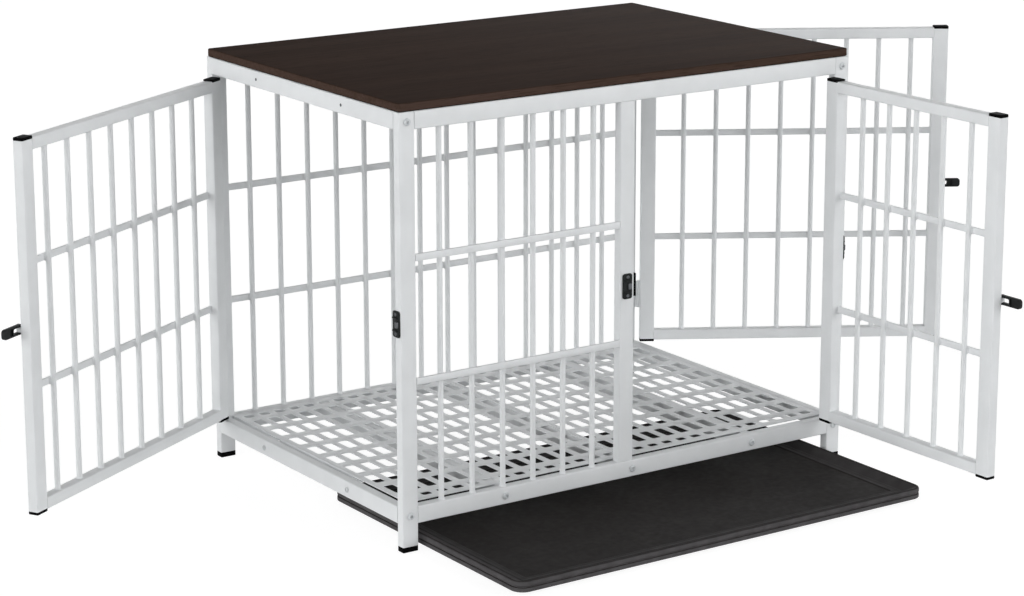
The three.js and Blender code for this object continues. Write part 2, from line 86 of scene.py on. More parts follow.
# %% Camera at the photograph's viewpoint
PICTURE_WIDE = 1024
FOCAL_IN_PIXELS = 2877.66
CUT_BELOW_MIDDLE = 60
SENSOR_MM = 36

camera_data = bpy.data.cameras.new("camera")
camera_data.sensor_width = SENSOR_MM
camera_data.lens = FOCAL_IN_PIXELS / PICTURE_WIDE * SENSOR_MM
camera_data.shift_y = -CUT_BELOW_MIDDLE / PICTURE_WIDE
camera = bpy.data.objects.new("camera", camera_data)
scene.collection.objects.link(camera)

azimuth, elevation, roll = (math.radians(angle) for angle in (-34.0506, 13.4453, 0.1053))
towards_camera = Vector((
    math.sin(azimuth) * math.cos(elevation),
    -math.cos(azimuth) * math.cos(elevation),
    math.sin(elevation),
))
camera.location = place(-2369.35, -3465.14, 1345.24)
camera.rotation_mode = "QUATERNION"
aim = (-towards_camera).to_track_quat("-Z", "Y")
camera.rotation_quaternion = aim @ Matrix.Rotation(-roll, 4, "Z").to_quaternion()
scene.camera = camera
print("camera at", [round(value, 3) for value in camera.location], "lens", round(camera_data.lens, 1))

# %% [markdown]
# ## Small helpers for colours and nodes
# Paint and plastic are matched in the screen's own scale, sRGB, and Blender mixes light in a linear one, so
# one function turns the first into the second. A second function adds a shader node with its settings and
# links. With these two, a material reads like a short recipe.

# %% Colours and nodes
scene.view_settings.view_transform = "Standard"


def colour(hex_code):
    """A colour written as six hex digits, as linear red, green, blue and a full alpha."""
    levels = [int(hex_code[i:i + 2], 16) / 255 for i in (0, 2, 4)]
    linear = [v / 12.92 if v <= 0.04045 else ((v + 0.055) / 1.055) ** 2.4 for v in levels]
    return (*linear, 1.0)


def add_node(tree, kind, sockets=(), **settings):
    """Adds a node. Sockets takes pairs of an input and either a value or the output to link to it."""
    node = tree.nodes.new(kind)
    for name, value in settings.items():
        setattr(node, name, value)
    for name, value in sockets:
        if isinstance(value, bpy.types.NodeSocket):
            tree.links.new(value, node.inputs[name])
        else:
            node.inputs[name].default_value = value
    return node


def new_tree(owner):
    """Empties the owner's nodes, so that each recipe starts from nothing."""
    owner.use_nodes = True
    owner.node_tree.nodes.clear()
    return owner.node_tree


def calculated(tree, operation, first, second, clamp=False):
    """The result of a sum, product or the like of two values or outputs."""
    sockets = [(0, first), (1, second)]
    return add_node(tree, "ShaderNodeMath", sockets, operation=operation, use_clamp=clamp).outputs[0]


print("white paint in linear light:", [round(v, 3) for v in colour("e4e6e7")[:3]])

# %% [markdown]
# ## Studio: floor, backdrop and lamps
# Catalogue pictures of furniture are taken on a white sweep with big soft lamps. Here the sweep is a wide
# pale floor under a pale sky. The camera and any shiny surface see them as white. The light that
# falls on the crate comes mostly from the walls. The ceiling is dark, so the tops of the tubes are
# greyer than their sides, as in the photograph, and the white paint shows its shape.

# %% White surroundings with bright walls
WALL_LIGHT = 1.15
CEILING_FALL = 3.0


def seen_directly(tree, reflected):
    """1 for rays from the camera or through clear materials and, by wish, for reflections. Else 0."""
    ray = add_node(tree, "ShaderNodeLightPath").outputs
    seen = calculated(tree, "MAXIMUM", ray["Is Camera Ray"], ray["Is Transmission Ray"])
    if reflected:
        seen = calculated(tree, "MAXIMUM", seen, ray["Is Glossy Ray"])
    return seen


world = bpy.data.worlds.new("white studio")
scene.world = world
tree = new_tree(world)
way = add_node(tree, "ShaderNodeTexCoord")
rise = add_node(tree, "ShaderNodeSeparateXYZ", [(0, way.outputs["Generated"])])
below = calculated(tree, "SUBTRACT", 1.0, rise.outputs["Z"], clamp=True)
fall = calculated(tree, "POWER", below, CEILING_FALL)
level = calculated(tree, "MULTIPLY", fall, WALL_LIGHT)
lit = add_node(tree, "ShaderNodeBackground", [("Color", colour("f4f6f8")), ("Strength", level)])
white = add_node(tree, "ShaderNodeBackground", [("Color", (1, 1, 1, 1)), ("Strength", 1.0)])
sky = add_node(tree, "ShaderNodeMixShader", [
    ("Fac", seen_directly(tree, False)),
    (1, lit.outputs[0]),
    (2, white.outputs[0]),
])
add_node(tree, "ShaderNodeOutputWorld", [("Surface", sky.outputs[0])])
print("walls light the crate at", WALL_LIGHT)

# %% Floor that keeps a faint shadow
FLOOR_HALF = 30.0
SHADOW_SHARE = 0.25
FLOOR_GLOW = 1.21

floor_paint = bpy.data.materials.new("white studio sweep")
tree = new_tree(floor_paint)
matt = add_node(tree, "ShaderNodeBsdfDiffuse", [("Color", colour("f6f6f6"))])
glow = add_node(tree, "ShaderNodeEmission", [("Color", (1, 1, 1, 1)), ("Strength", FLOOR_GLOW)])
washed = add_node(tree, "ShaderNodeMixShader", [
    ("Fac", SHADOW_SHARE),
    (1, glow.outputs[0]),
    (2, matt.outputs[0]),
])
sweep = add_node(tree, "ShaderNodeMixShader", [
    ("Fac", seen_directly(tree, True)),
    (1, matt.outputs[0]),
    (2, washed.outputs[0]),
])
add_node(tree, "ShaderNodeOutputMaterial", [("Surface", sweep.outputs[0])])

sheet = bmesh.new()
corners = [(-1, -1), (1, -1), (1, 1), (-1, 1)]
sheet.faces.new([sheet.verts.new((x * FLOOR_HALF, y * FLOOR_HALF, -0.0004)) for x, y in corners])
floor_data = bpy.data.meshes.new("floor")
sheet.to_mesh(floor_data)
sheet.free()
floor_data.materials.append(floor_paint)
floor = bpy.data.objects.new("floor", floor_data)
scene.collection.objects.link(floor)
print("floor is", 2 * FLOOR_HALF, "m wide")

# %% Soft lamps
def soft_sun(name, towards, softness, strength):
    """A lamp so far and so wide that the whole crate gets the same soft light from one side."""
    data = bpy.data.lights.new(name, "SUN")
    data.angle = math.radians(softness)
    data.energy = strength
    lamp = bpy.data.objects.new(name, data)
    lamp.location = place(0, 0, 320) + Vector(towards).normalized() * 3
    lamp.rotation_mode = "QUATERNION"
    lamp.rotation_quaternion = Vector(towards).to_track_quat("Z", "Y")
    scene.collection.objects.link(lamp)
    return lamp


soft_sun("high lamp, front left", (-0.75, -0.7, 0.6), 50, 0.28)
soft_sun("wall lamp, left", (-1.0, 0.1, 0.3), 60, 0.85)
soft_sun("low lamp, left", (-1.0, -0.15, 0.08), 60, 1.3)
soft_sun("wall lamp, front right", (0.9, -1.0, 0.35), 60, 1.75)
soft_sun("wall lamp, back right", (1.0, 0.8, 0.2), 60, 0.9)

# %% [markdown]
# ## White powder-coated steel
# The cage is mild steel tube. It is sprayed with dry polyester powder and baked, which gives an even satin
# white skin with a very fine orange-peel ripple. Real ripples are about 1 mm apart and too fine for this
# picture, so they are drawn 3 mm apart and shallow. A plain white would look like paper.

# %% White powder-coated steel
def surface_place(tree, stretch):
    """The piece's own coordinates in metres, multiplied along each axis."""
    where = add_node(tree, "ShaderNodeTexCoord")
    moved = add_node(tree, "ShaderNodeMapping", [
        ("Vector", where.outputs["Object"]),
        ("Scale", stretch),
    ])
    return moved.outputs[0]


def noise(tree, stretch, detail=3.0, roughness=0.5, distortion=0.0):
    """A noise pattern. Stretch gives how many of its grains go into a metre along x, y and z."""
    return add_node(tree, "ShaderNodeTexNoise", [
        ("Vector", surface_place(tree, stretch)),
        ("Scale", 1.0),
        ("Detail", detail),
        ("Roughness", roughness),
        ("Distortion", distortion),
    ]).outputs["Fac"]


def between(tree, factor, low, high):
    """Maps a pattern's usual range, 0.3 to 0.7, to the two values."""
    return add_node(tree, "ShaderNodeMapRange", [
        ("Value", factor),
        ("From Min", 0.3),
        ("From Max", 0.7),
        ("To Min", low),
        ("To Max", high),
    ]).outputs[0]


def two_tone(tree, factor, dark, light):
    """A colour that goes from dark to light with the pattern."""
    ramp = add_node(tree, "ShaderNodeValToRGB", [("Fac", factor)])
    ramp.color_ramp.elements[0].position = 0.3
    ramp.color_ramp.elements[0].color = colour(dark)
    ramp.color_ramp.elements[1].position = 0.7
    ramp.color_ramp.elements[1].color = colour(light)
    return ramp.outputs["Color"]


def bump(tree, height, strength, depth_mm):
    """Turns a pattern into small hollows and hills of the given depth."""
    return add_node(tree, "ShaderNodeBump", [
        ("Height", height),
        ("Strength", strength),
        ("Distance", depth_mm * MM),
    ]).outputs["Normal"]


def grains(size_mm):
    """How many grains of this size go into a metre, alike on all three axes."""
    return (1000 / size_mm,) * 3


def new_material(name):
    """A material and its empty tree."""
    material = bpy.data.materials.new(name)
    print("made", name)
    return material, new_tree(material)


def add_surface(tree, base, rough, normal, *others):
    """The surface with its colour, roughness and relief. Others are pairs of an input and a value."""
    sockets = [("Base Color", base), ("Roughness", rough), ("Normal", normal), *others]
    skin = add_node(tree, "ShaderNodeBsdfPrincipled", sockets)
    add_node(tree, "ShaderNodeOutputMaterial", [("Surface", skin.outputs[0])])


white_steel, tree = new_material("white powder-coated steel")
base = two_tone(tree, noise(tree, grains(45)), "e1e3e4", "e7e9ea")
rough = between(tree, noise(tree, grains(12)), 0.4, 0.5)
ripple = bump(tree, noise(tree, grains(3), detail=1.0), 0.35, 0.05)
add_surface(tree, base, rough, ripple, ("IOR", 1.5))

# %% [markdown]
# ## Dark wood-grain laminate
# The top is fibreboard wrapped in a printed paper with a walnut grain, pressed under resin. The print has
# long streaks along the board about 7 mm apart, and short dark pores. The resin is matt, with a slight
# emboss along the grain. It keeps the top dark even when the camera looks across it at a low angle.
# The edges carry a separate band a shade lighter, and the faces that look down, up to the lower arris, are
# painted near-black as painted shade. Both are found here by the direction that a face looks.

# %% Patterns that follow a piece's shape
def part_way(tree, value, start, end):
    """0 where the value is at the start, 1 at the end, and even steps between."""
    sockets = [("Value", value), ("From Min", start), ("From Max", end)]
    return add_node(tree, "ShaderNodeMapRange", sockets).outputs[0]


def upwards(tree):
    """How far a face looks up: 1 for a level face, 0 for an upright one, -1 for one that looks down."""
    shape = add_node(tree, "ShaderNodeNewGeometry")
    return add_node(tree, "ShaderNodeSeparateXYZ", [(0, shape.outputs["Normal"])]).outputs["Z"]


def facing_up(tree):
    """1 on faces that look up or down, 0 on upright ones."""
    flat = add_node(tree, "ShaderNodeMath", [(0, upwards(tree))], operation="ABSOLUTE")
    return part_way(tree, flat.outputs[0], 0.45, 0.9)


def facing_down(tree):
    """1 on faces that look well downwards, 0 on all others."""
    return part_way(tree, upwards(tree), -0.15, -0.6)


def mixed(tree, factor, first, second):
    """The first colour where the factor is 0 and the second where it is 1."""
    mix = add_node(tree, "ShaderNodeMix", [("Factor", factor)], data_type="RGBA")
    for name, value in (("A", first), ("B", second)):
        socket = next(i for i in mix.inputs if i.name == name and i.type == "RGBA")
        if isinstance(value, bpy.types.NodeSocket):
            tree.links.new(value, socket)
        else:
            socket.default_value = value
    return next(o for o in mix.outputs if o.type == "RGBA")


print("patterns ready")

# %% Dark wood-grain laminate
GRAIN_APART_MM = 7
PORE_APART_MM = 2.2

laminate, tree = new_material("dark walnut-grain laminate")
streaks = noise(tree, (2.2, 1000 / GRAIN_APART_MM, 1000 / GRAIN_APART_MM), 5.0, 0.62, 0.6)
bands = noise(tree, (0.9, 14.0, 14.0), 2.0, 0.5, 0.8)
pores = noise(tree, (28.0, 1000 / PORE_APART_MM, 1000 / PORE_APART_MM), 2.0, 0.6)
streak_colour = two_tone(tree, streaks, "2b1e18", "47372f")
band_colour = two_tone(tree, bands, "30231d", "43332b")
printed = mixed(tree, 0.45, streak_colour, band_colour)
pore_shade = add_node(tree, "ShaderNodeMapRange", [
    ("Value", pores),
    ("From Min", 0.36),
    ("From Max", 0.44),
    ("To Min", 0.7),
    ("To Max", 1.0),
])
edge_band = two_tone(tree, streaks, "403229", "50403a")
banded = mixed(tree, facing_up(tree), edge_band, printed)
# Painted shade: faces that look down are painted near-black, which draws a dark line under the board's
# edge.
underside_painted_shade = mixed(tree, facing_down(tree), banded, colour("14100e"))
darkened = add_node(tree, "ShaderNodeVectorMath", [
    (0, underside_painted_shade),
    ("Scale", pore_shade.outputs[0]),
], operation="SCALE")
rough = between(tree, streaks, 0.62, 0.74)
add_surface(tree, darkened.outputs["Vector"], rough, bump(tree, pores, 0.5, 0.08),
            ("IOR", 1.5), ("Specular IOR Level", 0.01))
print("streaks", GRAIN_APART_MM, "mm apart")

# %% [markdown]
# ## Moulded plastics
# Feet and door caps are black polyethylene plugs. The latches and their keepers are dark grey nylon.
# They differ in colour, in gloss and in the size of the mould's texture, so one recipe makes both. The tray
# is high-impact polystyrene, formed over a mould. Its pan and the crown of its rim keep the plastic's own
# dark, matt colour. Its upright walls, its slope and the ridges on it are painted greyer: a painted sheen
# that stands for the gloss they catch.

# %% Moulded plastics
def moulded_plastic(name, dark, light, rough, grain_mm, depth_mm, specular):
    """A plastic with a faint mottle, uneven gloss and the pebbled skin of its mould."""
    plastic, tree = new_material(name)
    base = two_tone(tree, noise(tree, grains(30)), dark, light)
    gloss = between(tree, noise(tree, grains(9)), rough - 0.05, rough + 0.05)
    pebbles = bump(tree, noise(tree, grains(grain_mm), detail=2.0), 0.5, depth_mm)
    add_surface(tree, base, gloss, pebbles, ("IOR", 1.5), ("Specular IOR Level", specular))
    return plastic


black_plug = moulded_plastic("black moulded polyethylene", "050506", "0a0a0a", 0.55, 1.6, 0.05, 0.02)
grey_nylon = moulded_plastic("dark grey moulded nylon", "151717", "252828", 0.5, 1.2, 0.06, 0.14)

# %% The tray's plastic
PAN_TOP, RIM_TOP = 10.8, 20.0

tray_skin, tree = new_material("black thermoformed polystyrene")
where = add_node(tree, "ShaderNodeTexCoord")
height = add_node(tree, "ShaderNodeSeparateXYZ", [(0, where.outputs["Object"])]).outputs["Z"]
rise = part_way(tree, height, PAN_TOP * MM, RIM_TOP * MM)
# Painted sheen: between the pan and the crown, the walls, slope and ridges are painted greyer by height,
# and the crown goes back to the dark colour.
painted_sheen_ramp = add_node(tree, "ShaderNodeValToRGB", [("Fac", rise)])
stops = painted_sheen_ramp.color_ramp.elements
stops[0].position, stops[0].color = 0.02, (0, 0, 0, 1)
stops[1].position, stops[1].color = 1.0, (0.05, 0.05, 0.05, 1)
for position, level in ((0.1, 0.42), (0.8, 0.5)):
    stops.new(position).color = (level, level, level, 1)
pan_colour = two_tone(tree, noise(tree, grains(30)), "2b2827", "312e2d")
painted_sheen_colour = two_tone(tree, noise(tree, grains(18)), "4a4849", "585657")
skin_colour = mixed(tree, painted_sheen_ramp.outputs["Color"], pan_colour, painted_sheen_colour)
# Painted reflection: upright faces are painted the greyer colour, for the gloss that the walls would catch.
base = mixed(tree, facing_up(tree), painted_sheen_colour, skin_colour)
rough = between(tree, noise(tree, grains(9)), 0.5, 0.62)
grain = bump(tree, noise(tree, grains(2.4), detail=2.0), 0.5, 0.06)
add_surface(tree, base, rough, grain, ("IOR", 1.5), ("Specular IOR Level", 0.04))
print("the pan's colour ends", PAN_TOP, "mm up")

# %% [markdown]
# ## Bolts and screws: painted and blackened steel
# The frame's bolts are sprayed with the crate's own white, which sits thinner on them and looks a shade
# greyer. The little screws, the latch pins and the keepers' noses are blackened in hot oil. That leaves a
# metal, so its colour lies in its reflection: dark grey with a soft glint.

# %% Painted bolts and blackened screws
bolt_paint, tree = new_material("thin white paint on steel")
base = two_tone(tree, noise(tree, grains(4)), "cbced0", "d7dadc")
rough = between(tree, noise(tree, grains(2)), 0.32, 0.42)
brushed = bump(tree, noise(tree, grains(1.5), detail=1.0), 0.3, 0.03)
add_surface(tree, base, rough, brushed, ("IOR", 1.5))

black_steel, tree = new_material("oil-blackened steel")
base = two_tone(tree, noise(tree, grains(3)), "5a5c5f", "6e7073")
rough = between(tree, noise(tree, grains(2)), 0.4, 0.5)
etched = bump(tree, noise(tree, grains(1), detail=1.0), 0.3, 0.02)
add_surface(tree, base, rough, etched, ("Metallic", 1.0))

# %% [markdown]
# ## Tools for making pieces
# Nearly everything here is a tube, a turned rod or a cut plate. Tube and rod are rings of points joined by
# a skin. That gives exact sizes, rounded edges and few faces, where a scaled cube has sharp edges
# that no real tube has. A plate with many holes is easier as a filled flat curve with a small bevel.

# %% Rings of points joined by a skin
AXES = {"x": (0, 1, 2), "y": (1, 2, 0), "z": (2, 0, 1)}


def add_rings(mesh, rings):
    """Joins rings with the same number of points and closes both ends."""
    made = [[mesh.verts.new(point) for point in ring] for ring in rings]
    count = len(made[0])
    for near, far in zip(made, made[1:]):
        for i in range(count):
            j = (i + 1) % count
            mesh.faces.new((near[i], near[j], far[j], far[i]))
    mesh.faces.new(made[0][::-1])
    mesh.faces.new(made[-1])


def rounded_section(wide, high, radius, steps):
    """Points round a rectangle with rounded corners, about its middle."""
    points = []
    for quarter, (across, up) in enumerate([(1, 1), (-1, 1), (-1, -1), (1, -1)]):
        middle = (across * (wide / 2 - radius), up * (high / 2 - radius))
        for step in range(steps + 1):
            angle = (quarter + step / steps) * math.pi / 2
            points.append((
                middle[0] + radius * math.cos(angle),
                middle[1] + radius * math.sin(angle),
            ))
    return points


def add_beam(mesh, block, along, radius, end=0.0, steps=4):
    """Fills the block with a bar of rounded section. End rounds off its two ends."""
    length, first, second = AXES[along]
    spans = [sorted(span) for span in block]
    middle = [(low + high) / 2 for low, high in spans]
    wide, high = (spans[i][1] - spans[i][0] for i in (first, second))
    turns = [step / steps * math.pi / 2 for step in range(steps + 1)] if end else [math.pi / 2]
    near = [(spans[length][0] + end * (1 - math.cos(t)), end * (1 - math.sin(t))) for t in turns]
    far = [(spans[length][0] + spans[length][1] - depth, inset) for depth, inset in reversed(near)]
    rings = []
    for depth, inset in near + far:
        section = rounded_section(wide - 2 * inset, high - 2 * inset, max(radius - inset, 0.1), steps)
        ring = []
        for a, b in section:
            point = [0.0, 0.0, 0.0]
            point[length] = depth
            point[first] = middle[first] + a
            point[second] = middle[second] + b
            ring.append(point)
        rings.append(ring)
    add_rings(mesh, rings)


print("sections have", len(rounded_section(25, 15, 2, 4)), "points")

# %% Turned rods and weld beads
def add_turned(mesh, start, along, profile, sides=20, squeeze=(1.0, 1.0)):
    """A turned piece. The profile has pairs of a distance from the start and a radius."""
    length, first, second = AXES[along]
    rings = []
    for distance, radius in profile:
        ring = []
        for i in range(sides):
            angle = 2 * math.pi * i / sides
            point = list(start)
            point[length] += distance
            point[first] += radius * squeeze[0] * math.cos(angle)
            point[second] += radius * squeeze[1] * math.sin(angle)
            ring.append(point)
        rings.append(ring)
    add_rings(mesh, rings)


def add_bead(mesh, middle, along, half_long, half_wide, half_high):
    """A weld bead: a drawn-out drop of metal that is thickest in its middle."""
    tips = [-0.97, -0.8, -0.45, 0.0, 0.45, 0.8, 0.97]
    profile = [(half_long * t, math.sqrt(1 - t * t)) for t in tips]
    add_turned(mesh, middle, along, profile, 8, (half_wide, half_high))


def rod_profile(low, high, radius, chamfer):
    """A straight rod with a small chamfer at both ends."""
    inner = radius - chamfer
    return [(low, inner), (low + chamfer, radius), (high - chamfer, radius), (high, inner)]


print("tools for rods and beads ready")

# %% Flat plates with holes
def flat_plate(outline, holes, thick, edge, edge_steps=2):
    """A plate on z = 0 with holes and rounded edges, as a mesh, made from a filled curve."""
    curve = bpy.data.curves.new("plate outline", "CURVE")
    curve.dimensions = "2D"
    curve.fill_mode = "BOTH"
    curve.extrude = thick / 2 - edge
    curve.bevel_depth = edge
    curve.bevel_resolution = edge_steps
    curve.offset = -edge
    for points in [outline, *[hole[::-1] for hole in holes]]:
        spline = curve.splines.new("POLY")
        spline.points.add(len(points) - 1)
        for made, (x, y) in zip(spline.points, points):
            made.co = (x, y, 0, 1)
        spline.use_cyclic_u = True
    holder = bpy.data.objects.new("plate outline", curve)
    scene.collection.objects.link(holder)
    graph = bpy.context.evaluated_depsgraph_get()
    data = bpy.data.meshes.new_from_object(holder.evaluated_get(graph))
    mesh = bmesh.new()
    mesh.from_mesh(data)
    bpy.data.objects.remove(holder)
    bpy.data.curves.remove(curve)
    bpy.data.meshes.remove(data)
    bmesh.ops.remove_doubles(mesh, verts=mesh.verts, dist=1e-4)
    bmesh.ops.translate(mesh, verts=mesh.verts, vec=(0, 0, thick / 2))
    return mesh


def moved(points, x, y):
    """The same points, set off by x and y."""
    return [(a + x, b + y) for a, b in points]


print("tool for plates ready")

# %% Finishing a piece
def keep(mesh, name, body, finish, stands_for=(), turn=None):
    """Turns millimetres to metres, smooths the rounded parts and hangs the piece on its body."""
    if turn is not None:
        bmesh.ops.transform(mesh, matrix=turn, verts=mesh.verts)
    to_metres = Matrix.Translation(crate_middle) @ Matrix.Scale(MM, 4)
    bmesh.ops.transform(mesh, matrix=to_metres, verts=mesh.verts)
    bmesh.ops.recalc_face_normals(mesh, faces=mesh.faces)
    data = bpy.data.meshes.new(name)
    mesh.to_mesh(data)
    mesh.free()
    data.shade_smooth()
    data.set_sharp_from_angle(angle=math.radians(40))
    data.materials.append(finish)
    piece = bpy.data.objects.new(name, data)
    scene.collection.objects.link(piece)
    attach(piece, body)
    if stands_for:
        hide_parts(*stands_for)
    return piece


print("pieces are finished with one function")

# %% [markdown]
# ## Posts and rails
# The frame is rectangular tube, 25 by 15 mm, rolled and seam-welded, with corners of about 2 mm radius.
# Rails stop against the posts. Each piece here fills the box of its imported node, so nothing can
# drift, and the rounded corners draw the thin light and dark lines that show where two tubes meet.

# %% Posts and rails
TUBE_CORNER = 2.0
POSTS = ["post_front_left", "post_front_right", "post_back_left", "post_back_right", "post_middle"]
RAIL_AXIS = {"front": "x", "back": "x", "left": "y", "right": "y"}


def keep_tube(node, along):
    """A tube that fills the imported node's box."""
    tube = bmesh.new()
    add_beam(tube, block_of(node), along, TUBE_CORNER)
    keep(tube, node + "_tube", "frame", white_steel, [node])


for node in POSTS:
    keep_tube(node, "z")
for level in ("top", "bottom"):
    for side, axis in RAIL_AXIS.items():
        keep_tube(f"{level}_rail_{side}", axis)
for name in ("left", "middle", "right"):
    keep_tube(f"floor_cross_member_{name}", "y")
print("posts, rails and cross members:", len(POSTS) + 2 * len(RAIL_AXIS) + 3)

# %% [markdown]
# ## Bars and crossbars
# Each grille is round rod of 8 mm with two flat strips across it. The rods are butt-welded into the
# rails, which leaves a small flare of weld at each end, and tack-welded where they cross a strip. The
# flare is part of each rod's turned profile and the tacks are small beads beside it.

# %% Bars welded between two rails
BAR_RADIUS = 4.0
STRIP_HIGH = 10.0
STRIP_THICK = 4.6
STRIP_LEVELS = (242.5, 416.5)
FLARE = [(0.0, 1.34), (0.5, 1.22), (1.2, 1.08), (2.2, 1.0)]
TACK_AT, TACK, END_BEAD = 3.5, (5.8, 1.9, 1.9), (2.2, 1.1, 1.1)


def add_welded_bar(mesh, x, y, low, high):
    """An upright rod with a flare of weld at its foot and head."""
    foot = [(distance, BAR_RADIUS * share) for distance, share in FLARE]
    head = [(high - low - distance, radius) for distance, radius in reversed(foot)]
    add_turned(mesh, (x, y, low), "z", foot + head)


def spaced(count, pitch, middle):
    """Evenly spaced places about a middle."""
    return [middle + (i - (count - 1) / 2) * pitch for i in range(count)]


def add_grille(mesh, bars, bar_y, span, strip_y, low, high):
    """Bars, the two strips across them, and the tack welds. Strip_y is outer face, then inner face."""
    for x in bars:
        add_welded_bar(mesh, x, bar_y, low, high)
    for level in STRIP_LEVELS:
        rise = (level - STRIP_HIGH / 2, level + STRIP_HIGH / 2)
        add_beam(mesh, [span, strip_y, rise], "x", 1.0, steps=2)
        inward = 0.3 if strip_y[1] > strip_y[0] else -0.3
        for x in bars:
            for side in (-TACK_AT, TACK_AT):
                add_bead(mesh, (x + side, strip_y[1] + inward, level), "z", *TACK)
        for end in span:
            add_bead(mesh, (end, sum(strip_y) / 2, level + STRIP_HIGH / 2), "y", *END_BEAD)


print("bars are", 2 * BAR_RADIUS, "mm thick")

# %% The two fixed grilles
TUBE_THIN = 15.0
FRONT_BARS, BACK_BARS = (6, 51.3), (14, 50.3)
left_post, right_post = block_of("post_front_left"), block_of("post_front_right")
middle_post = block_of("post_middle")
low_rail, high_rail = block_of("bottom_rail_front"), block_of("top_rail_front")
between_rails = (low_rail[2][1], high_rail[2][0])
front_face, back_face = left_post[1][0], block_of("post_back_left")[1][1]

for node, face, inward, last_post, (count, pitch) in (
    ("front_grille", front_face, 1, middle_post, FRONT_BARS),
    ("back_grille", back_face, -1, right_post, BACK_BARS),
):
    panel = (left_post[0][1], last_post[0][0])
    strip_y = (face, face + inward * STRIP_THICK)
    grille = bmesh.new()
    add_grille(grille, spaced(count, pitch, sum(panel) / 2), face + inward * TUBE_THIN / 2, panel,
               strip_y, *between_rails)
    keep(grille, node + "_bars", "frame", white_steel, [node])
print("grille height:", [round(level, 1) for level in between_rails])

# %% [markdown]
# ## The board
# A 12 mm fibreboard with its edges softly rounded and the laminate wrapped over them. The rounding catches
# a thin line of light along the top edge. Together with painted shade on the faces that look down, it
# leaves a dark line above the white rail. The outline is a flat curve and the bevel makes the rounding all
# the way round, corners too.

# %% The board
BOARD_CORNER = 4.0
BOARD_EDGE = 2.2

wide, deep, thick = (high - low for low, high in block_of("tabletop"))
board = flat_plate(rounded_section(wide, deep, BOARD_CORNER, 8), [], thick, BOARD_EDGE, 3)
lift = Matrix.Translation((0, 0, block_of("tabletop")[2][0]))
keep(board, "tabletop_board", "frame", laminate, ["tabletop"], lift)
print("board, mm:", round(wide, 1), round(deep, 1), round(thick, 1))

# %% [markdown]
# ## The slotted floor
# Two sheets of 1.5 mm steel lie on the rails, punched with rows of long slots so that dirt falls through
# into the tray. Punching leaves rounded slot ends and slightly rolled edges. There are 280 slots, so they
# are drawn as holes in one filled curve per sheet. Boolean cuts would be slower and less clean. The outer
# edges are folded down as a short skirt, which stiffens them. It stops short of the front, where fingers
# reach in beside the rail to lift a sheet out.

# %% The slotted floor
SLOT_WIDE, SLOT_LONG, SLOT_CORNER = 16.0, 37.5, 3.0
SLOT_PITCH_X, SLOT_PITCH_Y = 26.26, 53.75
SLOT_END_MARGIN = 13.0
SLOT_COLUMNS, SLOT_ROWS = 14, 5
SKIRT_DEEP = 9.0
SKIRT_RUNS = [(-105.0, 105.0), (133.0, 243.0)]


def add_slots(holes, x, limit):
    """The slots of one column, from the sheet's middle out to its margin, on both sides."""
    for row in range(SLOT_ROWS):
        start = (row + 0.5) * SLOT_PITCH_Y - SLOT_LONG / 2
        long = min(start + SLOT_LONG, limit) - start
        slot = rounded_section(SLOT_WIDE, long, SLOT_CORNER, 3)
        for side in (-1, 1):
            holes.append(moved(slot, x, side * (start + long / 2)))


for name, side in (("left", -1), ("right", 1)):
    node = f"floor_panel_{name}"
    (x0, x1), (y0, y1), (z0, z1) = block_of(node)
    holes = []
    for column in range(SLOT_COLUMNS):
        add_slots(holes, side * (column + 0.5) * SLOT_PITCH_X, y1 - SLOT_END_MARGIN)
    outline = moved(rounded_section(x1 - x0, y1 - y0, 1.5, 2), (x0 + x1) / 2, (y0 + y1) / 2)
    panel = flat_plate(outline, holes, z1 - z0, 0.35, 1)
    outer = (x0, x0 + 1.5) if side < 0 else (x1 - 1.5, x1)
    for run in SKIRT_RUNS:
        add_beam(panel, [outer, run, (-SKIRT_DEEP, 0.3)], "y", 0.4, steps=2)
    lift = Matrix.Translation((0, 0, z0))
    keep(panel, node + "_sheet", "frame", white_steel, [node], lift)
    print(node, "has", len(holes), "slots")

# %% [markdown]
# ## Feet and door caps
# Black plastic plugs close the tube ends. A foot shows 8 mm of plug under each post, with its lower edge
# rounded so that it slides on carpet. Door caps are lids 4 mm high that end flush with the tube's sides.

# %% Feet
for corner in ("front_left", "front_right", "back_left", "back_right"):
    node = f"foot_{corner}"
    x, y, _ = block_of(node)
    foot = bmesh.new()
    post_bottom = block_of(f"post_{corner}")[2][0]
    add_beam(foot, [x, y, (0, post_bottom)], "z", TUBE_CORNER, 1.2)
    keep(foot, node + "_plug", "frame", black_plug, [node])
print("feet are", round(post_bottom, 1), "mm high")

# %% [markdown]
# ## Bolts and screws
# Flat-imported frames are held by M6 bolts with a domed head and a hex socket, in the posts and, for the
# floor's cross members, in the front bottom rail. The side rails carry smaller bolts for the floor
# brackets and little screws for the board's cleats. A head is a stack of rings: round outside and
# six-sided in the socket.

# %% A domed bolt head with a hex socket
def hexagon(across_flats, count):
    """Points round a hexagon, spread evenly by angle."""
    points = []
    for i in range(count):
        angle = 2 * math.pi * i / count
        to_flat = (angle + math.pi / 6) % (math.pi / 3) - math.pi / 6
        reach = across_flats / 2 / math.cos(to_flat)
        points.append((reach * math.cos(angle), reach * math.sin(angle)))
    return points


HEAD_SIDES = 24
HEAD_DOME = [(0.0, 0.86), (0.16, 0.86), (0.24, 0.99), (0.34, 1.0)]
HEAD_DOME += [(0.6, 0.94), (0.82, 0.81), (0.96, 0.66), (1.0, 0.54)]
SOCKET_CHAMFER = 0.3


